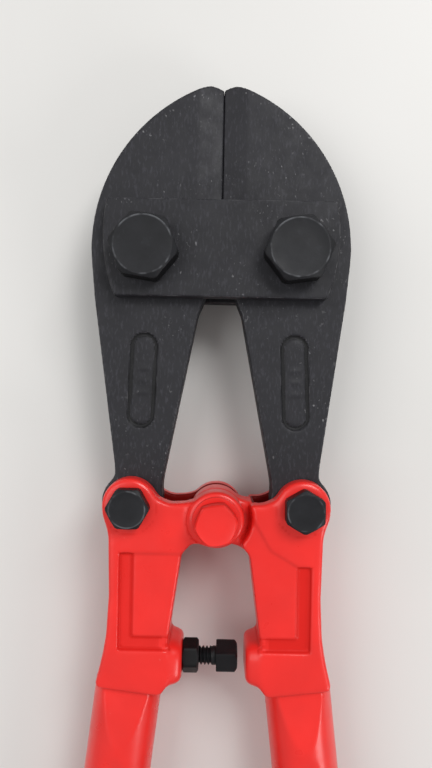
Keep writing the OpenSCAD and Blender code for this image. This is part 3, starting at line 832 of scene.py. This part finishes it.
def hex_bolt(name, af, seat, top, shank_d, end, turn_deg, at, soft=0.0):
    """A hex bolt: head between seat and top with a shallow dished face, shank down to a chamfered end."""
    rows, wear_and_shade = hex_profile(af, seat + 0.35, top, False)
    rim = af / 2 * CHAMFER_RIM
    face = [(rim - 0.22, top), (rim - 0.5, top - 0.03), (rim - 1.0, top - 0.12), (rim * 0.5, top - 0.16),
            (0.05, top - 0.16)]
    base = [(shank_d / 2, seat), (af / 2 * 0.93, seat), (af / 2 * 0.95, seat + 0.35)]
    shank = [(0.05, end), (shank_d / 2 - 0.5, end), (shank_d / 2, end + 0.5)]
    rings = turned(shank + base + rows + face, ROUND_STEPS, sided_radius(af, soft=soft))
    wears_and_shades = [0.2, 0.4, 0.3] + [0, 0, 0.1] + wear_and_shade + [0.7, 0, 0, 0, 0]
    return ring_solid(name, rings, wears_and_shades, placed(at, turn_deg), SOFT_CREASE_DEG if soft else CREASE_DEG)


def hex_nut(name, af, top, low, bolt_d, place, soft=0.0):
    """A hex nut: a band of rings, out along the lower chamfer, up, in over the face and down the bore."""
    rows, wear_and_shade = hex_profile(af, low, top, True)
    bore = (bolt_d + HOLE_OVER) / 2
    inner = [(bore + 0.5, top), (bore, top - 0.5), (bore, low + 0.5), (bore + 0.5, low)]
    rings = turned(rows + inner, ROUND_STEPS, sided_radius(af, soft=soft))
    crease = SOFT_CREASE_DEG if soft else CREASE_DEG
    return ring_solid(name, rings, wear_and_shade + [0.4, 0.1, 0.1, 0.4], place, crease, closed=True)


def washer(name, bolt_d, outer_d, top, low, at):
    """A plain washer with its edges just broken."""
    a, b, e = (bolt_d + HOLE_OVER) / 2, outer_d / 2, 0.15
    rows = [(a, low), (b - e, low), (b, low + e), (b, top - e), (b - e, top), (a, top)]
    return ring_solid(name, turned(rows), [0, 0.4, 0.5, 0.5, 0.4, 0], placed(at, 0), 40, closed=True)


def span(node):
    """A CAD node's lowest and highest Z about the middle plane."""
    low, high = box_mm(node)
    return low[2] - LIFT, high[2] - LIFT


def fasten(where, body, af, bolt_d, seat, at, bolt_turn, nut_turn):
    """Makes and settles a bolt and its nut, for the CAD nodes whose names begin with where."""
    low, high = span(where + "_bolt")
    bolt = hex_bolt(where + "_hex_bolt", af, seat, high, bolt_d, low, bolt_turn, at)
    settle(bolt, body, where + "_bolt", "bolt_black")
    low, high = span(where + "_nut")
    nut = hex_nut(where + "_hex_nut", af, high, low, bolt_d, placed(at, nut_turn))
    settle(nut, body, where + "_nut", "bolt_black")


def stop_screw_piece():
    """The stop screw, along X: a thread whose radius is a triangle wave that winds once round in a pitch,
    and a square head with a chamfered end, turned about the axis."""
    pitch = sizes().thread_pitch
    steps = SCREW_STEPS
    angles = round_angles(steps)
    length = SCREW_HIGH[0] - SCREW_LOW[0]
    head_from = length - STOP_HEAD_L
    run = np.arange(0.3, head_from - 0.3, pitch / 10)[:, None]
    wave = np.abs(((run / pitch - angles / (2 * math.pi)) % 1) * 2 - 1)
    fade = np.clip((head_from - 0.9 - run) / 0.6, 0, 1)
    r = STOP_D / 2 - 0.62 * fade * np.clip(1.25 * wave - 0.12, 0, 1) - 0.05
    spin = math.radians(-STOP_TURN)
    thread = np.stack([r * np.cos(angles), r * np.sin(angles), run + 0 * r], -1)
    half = STOP_HEAD_W / 2
    corner = half * math.sqrt(2) * 0.97
    profile = [(half * 0.8, head_from), (corner - 0.15, head_from + 0.02), (corner, head_from + 0.25),
               (corner, length - 0.75), (half + 0.75, length - 0.42), (half + 0.25, length - 0.08),
               (half * 0.96, length), (half * 0.6, length), (0.05, length)]
    rows = np.asarray(profile)
    limit = np.repeat(rows[:, :1], steps, 1)
    square = sided_radius(STOP_HEAD_W, 4, 0.02)((angles - spin)[None, :], limit)
    head = np.stack([square * np.cos(angles), square * np.sin(angles), np.repeat(rows[:, 1:], steps, 1)], -1)
    tip = turned([(0.05, 0), (STOP_D / 2 - 0.8, 0)], steps)
    wear_and_shade = np.concatenate([[0, 0.3], np.full(len(run), 0.12), [0.1, 0.2, 0.3, 0.1, 0.3, 0.8, 0.4, 0, 0]])
    rings = np.concatenate([tip, thread, head])
    return ring_solid("stop_square_screw", rings, wear_and_shade, along_x(SCREW_LOW[0]), 35)


def placed(at, turn_deg):
    """A function that turns points about Z and moves them to a place in the tool's plane."""
    c, s = math.cos(math.radians(turn_deg)), math.sin(math.radians(turn_deg))

    def place(points):
        moved = points.copy()
        moved[:, 0] = c * points[:, 0] - s * points[:, 1] + at[0]
        moved[:, 1] = s * points[:, 0] + c * points[:, 1] + at[1]
        return moved
    return place


def along_x(start):
    """A function that lays points whose Z is the run along the stop screw's axis."""
    def place(points):
        return np.stack([points[:, 2] + start, points[:, 1] - STOP_Y, -points[:, 0]], -1)
    return place


# ---- tubes and grips

def handle_axis():
    """Start and lean of the right handle's axis: through the middle of the casting's end and the grip."""
    start = np.array([TAIL[0] + 0.25, -CAST_END])
    middle = (GRIP_LOW + GRIP_HIGH)[:2] / 2
    return start, math.atan2(middle[0] - start[0], start[1] - middle[1])


def along_handle(points):
    """Lays points whose Z runs down the right handle."""
    start, lean = handle_axis()
    c, s = math.cos(lean), math.sin(lean)
    x = start[0] + points[:, 0] * c + points[:, 2] * s
    y = start[1] + points[:, 0] * s - points[:, 2] * c
    return np.stack([x, y, points[:, 1]], -1)


def handle_length():
    """Distance along the axis from the casting's end to the grip's end."""
    start, lean = handle_axis()
    radius = (GRIP_HIGH[2] - GRIP_LOW[2]) / 2
    return (start[1] - GRIP_LOW[1] - radius * math.sin(lean) * GRIP_END_SHARE) / math.cos(lean)


def tube_piece():
    """The right tube: a round wall, pressed flat above and below towards the casting, with two crimps.

    The wall's radius is a circle's, cut by two planes that lean in towards the casting, so that each leaves
    a tapered flat. The crimps are bell-shaped dents.
    """
    angles = round_angles(ROUND_STEPS)
    run = np.concatenate([np.arange(END_GAP, 34, 0.5), np.linspace(34, handle_length() - 5, 24)])[:, None]
    along = run + 0 * angles[None, :]

    def wall(radius, inset):
        x = radius * np.cos(angles)[None, :] + 0 * run
        y = radius * np.sin(angles)[None, :] + 0 * run
        limit = np.interp(along, [0, 15], [6.9, TUBE_R + 0.3]) - inset
        y = np.clip(y, -limit, limit)
        dent = np.exp(-((along - 19.5) / 2.6) ** 2 - (x / 2.3) ** 2) * sizes().crimp_depth
        y = y - np.sign(y) * dent
        return np.stack([x, y, along], -1)

    outer = wall(TUBE_R, 0)
    inner = wall(TUBE_R - TUBE_WALL, TUBE_WALL)[::-1]
    rings = np.concatenate([outer, inner])
    return ring_solid("right_tube_wall", rings, None, along_handle, 40, closed=True)


def grip_piece():
    """The right grip: a turned profile with a lip in front, a ribbed waist and a bulb behind, over a blind
    bore. The profile's corners are rounded by a running mean, and the channels between ribs are raised
    cosines."""
    size = sizes()
    length = handle_length()
    lip = (GRIP_HIGH[2] - GRIP_LOW[2]) / 2
    front = length - GRIP_LENGTH
    waist = GRIP_WAIST_R - 0.1
    s = np.linspace(front, length, 300)
    knots = [(front, lip - 2.2), (front + 1.6, lip - 0.3), (front + 3.4, lip - 0.05),
             (front + 5.2, lip - 0.4), (front + 11, waist), (length - 14, waist), (length - 7.5, lip - 0.3),
             (length - 4.6, lip - 0.05), (length - 2.2, lip - 0.9), (length - 0.4, lip - 3.2),
             (length, lip - 6)]
    r = np.interp(s, *zip(*knots))
    soft = np.convolve(np.pad(r, 5, mode="edge"), np.ones(11) / 11, "valid")
    r = np.where((s > front + 2) & (s < length - 3), np.minimum(soft, r + 0.05), r)
    phase = (s - front - 16) / (GRIP_LENGTH - 34)
    channel = np.clip(1.6 * np.cos(2 * math.pi * phase * size.grip_ribs) - 0.9, 0, 1)
    r = r - np.where((phase > 0) & (phase < 1), channel, 0) * size.grip_rib_depth
    bore = TUBE_R + 0.06
    cap = length - GRIP_CAP
    profile = [(0.05, cap), (bore, cap), (bore, front + 0.3), (bore + 0.3, front)]
    profile += list(zip(r, s)) + [(lip - 9, length), (0.05, length)]
    return ring_solid("right_grip_sleeve", turned(profile, ROUND_STEPS), None, along_handle, 60)


# ---- operators

class PieceOperator:
    """What the operators that make pieces share."""

    bl_options = {"REGISTER", "UNDO"}


class CUTTER_OT_jaws(PieceOperator, bpy.types.Operator):
    """Makes the two forged jaws"""

    bl_idname = "cutter.jaws"
    bl_label = "Jaws"

    def execute(self, context):
        right = jaw_piece("right_jaw_forging", BLADE_LEAN)
        shape = jaw_piece("left_jaw_shape", -BLADE_LEAN)
        left = mirrored(shape, "left_jaw_forging")
        bpy.data.objects.remove(shape)
        settle(right, "right_jaw", "right_jaw", "jaw_black")
        settle(left, "left_jaw", "left_jaw", "jaw_black")
        return {"FINISHED"}


class CUTTER_OT_side_plates(PieceOperator, bpy.types.Operator):
    """Makes the front and back side plates"""

    bl_idname = "cutter.side_plates"
    bl_label = "Side plates"

    def execute(self, context):
        for where in ("front", "back"):
            low, high = box_mm(where + "_plate")
            piece = plate_piece(where + "_side_plate", low[2] - LIFT, high[2] - LIFT)
            settle(piece, "head", where + "_plate", "plate_black")
        return {"FINISHED"}


class CUTTER_OT_castings(PieceOperator, bpy.types.Operator):
    """Makes the two cast handle heads"""

    bl_idname = "cutter.castings"
    bl_label = "Castings"

    def execute(self, context):
        right = casting_piece("right_casting", False)
        settle(right, "right_handle", "right_handle_head", "cast_red")
        shape = casting_piece("left_casting_shape", True)
        left = mirrored(shape, "left_casting")
        bpy.data.objects.remove(shape)
        settle(left, "left_handle", "left_handle_head", "cast_red")
        return {"FINISHED"}


class CUTTER_OT_jaw_fasteners(PieceOperator, bpy.types.Operator):
    """Makes the jaw bolts, their washers and nuts"""

    bl_idname = "cutter.jaw_fasteners"
    bl_label = "Jaw fasteners"

    def execute(self, context):
        washers = []
        for name, side in SIDES.items():
            at = (side * JAW_PIVOT[0], JAW_PIVOT[1])
            bolt_turn = {"left": -9, "right": 8}[name]
            seat = PLATE_HIGH[2] - LIFT
            fasten(name + "_jaw", "head", JAW_AF, JAW_BOLT_D, seat, at, bolt_turn, 5 - side * 12)
            low, high = span("jaw_washers")
            washers.append(washer(name + "_jaw_washer", JAW_BOLT_D, JAW_AF + 1, high, low, at))
        pair = join("jaw_washer_pair", washers)
        settle(pair, "head", "jaw_washers", "bolt_black")
        return {"FINISHED"}


class CUTTER_OT_tail_fasteners(PieceOperator, bpy.types.Operator):
    """Makes the tail bolts, their washers and nuts"""

    bl_idname = "cutter.tail_fasteners"
    bl_label = "Tail fasteners"

    def execute(self, context):
        for name, side in SIDES.items():
            at = (side * TAIL[0], TAIL[1])
            body = name + "_handle"
            bolt_turn = {"left": 0, "right": 30}[name]
            fasten(name + "_tail", body, SMALL_AF, SMALL_D, HALF_CAST, at, bolt_turn, 12 + side * 8)
            low, high = span(name + "_tail_washer")
            ring = washer(name + "_tail_plain_washer", SMALL_D, SMALL_AF + 1.5, high, low, at)
            settle(ring, body, name + "_tail_washer", "bolt_black")
        return {"FINISHED"}


class CUTTER_OT_centre_fasteners(PieceOperator, bpy.types.Operator):
    """Makes the painted centre bolt, its washer and nut"""

    bl_idname = "cutter.centre_fasteners"
    bl_label = "Centre fasteners"

    def execute(self, context):
        low, high = span("centre_bolt")
        seat = span("centre_washer")[1]
        bolt = hex_bolt("centre_hex_bolt", SMALL_AF * 1.22, seat, high, SMALL_D, low, 10, (0, 0), soft=0.3)
        settle(bolt, "centre", "centre_bolt", "cast_red")
        low, high = span("centre_washer")
        ring = washer("centre_plain_washer", SMALL_D, SMALL_AF + 2.6, high, low, (0, 0))
        settle(ring, "centre", "centre_washer", "cast_red")
        low, high = span("centre_nut")
        nut = hex_nut("centre_hex_nut", SMALL_AF, high, low, SMALL_D, placed((0, 0), 20), soft=0.06)
        settle(nut, "centre", "centre_nut", "cast_red")
        return {"FINISHED"}


class CUTTER_OT_stop_screw(PieceOperator, bpy.types.Operator):
    """Makes the stop screw and its lock nut"""

    bl_idname = "cutter.stop_screw"
    bl_label = "Stop screw"

    def execute(self, context):
        screw = stop_screw_piece()
        settle(screw, "stop_screw", "stop_screw", "screw_black")
        lay = along_x(NUT_LOW[0])
        turn = placed((0, 0), 15)
        nut = hex_nut("stop_hex_nut", STOP_NUT_AF, NUT_HIGH[0] - NUT_LOW[0], 0, STOP_D,
                      lambda points: lay(turn(points)))
        settle(nut, "left_handle", "stop_lock_nut", "screw_black")
        return {"FINISHED"}


class CUTTER_OT_tubes(PieceOperator, bpy.types.Operator):
    """Makes the two handle tubes"""

    bl_idname = "cutter.tubes"
    bl_label = "Tubes"

    def execute(self, context):
        right = tube_piece()
        left = mirrored(right, "left_tube_wall")
        settle(right, "right_handle", "right_tube", "tube_red")
        settle(left, "left_handle", "left_tube", "tube_red")
        return {"FINISHED"}


class CUTTER_OT_grips(PieceOperator, bpy.types.Operator):
    """Makes the two moulded grips"""

    bl_idname = "cutter.grips"
    bl_label = "Grips"

    def execute(self, context):
        right = grip_piece()
        left = mirrored(right, "left_grip_sleeve")
        settle(right, "right_handle", "right_grip", "grip_black")
        settle(left, "left_handle", "left_grip", "grip_black")
        return {"FINISHED"}


class CUTTER_OT_stage(PieceOperator, bpy.types.Operator):
    """Makes the table, the lights and the camera"""

    bl_idname = "cutter.stage"
    bl_label = "Stage"

    def execute(self, context):
        corners = [(-1, -1), (1, -1), (1, 1), (-1, 1)]
        places = [(TABLE_HALF * x, TABLE_HALF * y, -TABLE_DROP) for x, y in corners]
        mesh = bpy.data.meshes.new("table")
        mesh.from_pydata(places, [], [(0, 1, 2, 3)])
        mesh.materials.append(material("table_top"))
        table = bpy.data.objects.new("table", mesh)
        context.scene.collection.objects.link(table)
        for light in LIGHTS:
            add_light(*light)
        world = context.scene.world or bpy.data.worlds.new("studio")
        context.scene.world = world
        world.use_nodes = True
        back = world.node_tree.nodes["Background"]
        back.inputs["Color"].default_value = (1, 1, 1, 1)
        back.inputs["Strength"].default_value = SURROUND
        lens = bpy.data.cameras.new("camera")
        lens.lens = LENS
        lens.sensor_width = SENSOR
        camera = bpy.data.objects.new("camera", lens)
        context.scene.collection.objects.link(camera)
        camera.location = (CAMERA_X * MM, CAMERA_Y * MM, (LIFT + CAMERA_ABOVE) * MM)
        camera.rotation_euler = (0, 0, math.radians(CAMERA_ROLL_DEG))
        lens.clip_start = 0.01
        context.scene.camera = camera
        context.scene.view_settings.view_transform = "Standard"
        return {"FINISHED"}


def add_light(name, place, aim, size, power):
    """A square area light at a place, turned to face an aim."""
    data = bpy.data.lights.new(name, "AREA")
    data.size = size
    data.energy = power
    lamp = bpy.data.objects.new(name, data)
    lamp.location = place
    lamp.rotation_euler = (Vector(aim) - Vector(place)).to_track_quat("-Z", "Y").to_euler()
    bpy.context.scene.collection.objects.link(lamp)


STEPS = [CUTTER_OT_jaws, CUTTER_OT_side_plates, CUTTER_OT_castings, CUTTER_OT_jaw_fasteners,
         CUTTER_OT_tail_fasteners, CUTTER_OT_centre_fasteners, CUTTER_OT_stop_screw, CUTTER_OT_tubes,
         CUTTER_OT_grips, CUTTER_OT_stage]


class CUTTER_PT_panel(bpy.types.Panel):
    """Lists the operators and the settings"""

    bl_idname = "CUTTER_PT_panel"
    bl_label = "Bolt cutters"
    bl_space_type = "VIEW_3D"
    bl_region_type = "UI"
    bl_category = "Cutters"

    def draw(self, context):
        column = self.layout.column(align=True)
        for step in STEPS:
            column.operator(step.bl_idname, text=step.bl_label)
        for group in (context.scene.cutter_sizes, context.scene.cutter_finish):
            part = self.layout.box()
            for name in group.__annotations__:
                part.prop(group, name)


CLASSES = [CutterSizes, CutterFinish, *STEPS, CUTTER_PT_panel]


def register():
    """Registers the classes and hangs the settings on the scene."""
    for each in CLASSES:
        bpy.utils.register_class(each)
    bpy.types.Scene.cutter_sizes = PointerProperty(type=CutterSizes)
    bpy.types.Scene.cutter_finish = PointerProperty(type=CutterFinish)


def unregister():
    """Takes back what register did."""
    del bpy.types.Scene.cutter_finish
    del bpy.types.Scene.cutter_sizes
    for each in reversed(CLASSES):
        bpy.utils.unregister_class(each)


def main():
    """Registers the add-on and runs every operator."""
    register()
    for step in STEPS:
        area, name = step.bl_idname.split(".")
        getattr(getattr(bpy.ops, area), name)()


if __name__ == "__main__":
    main()
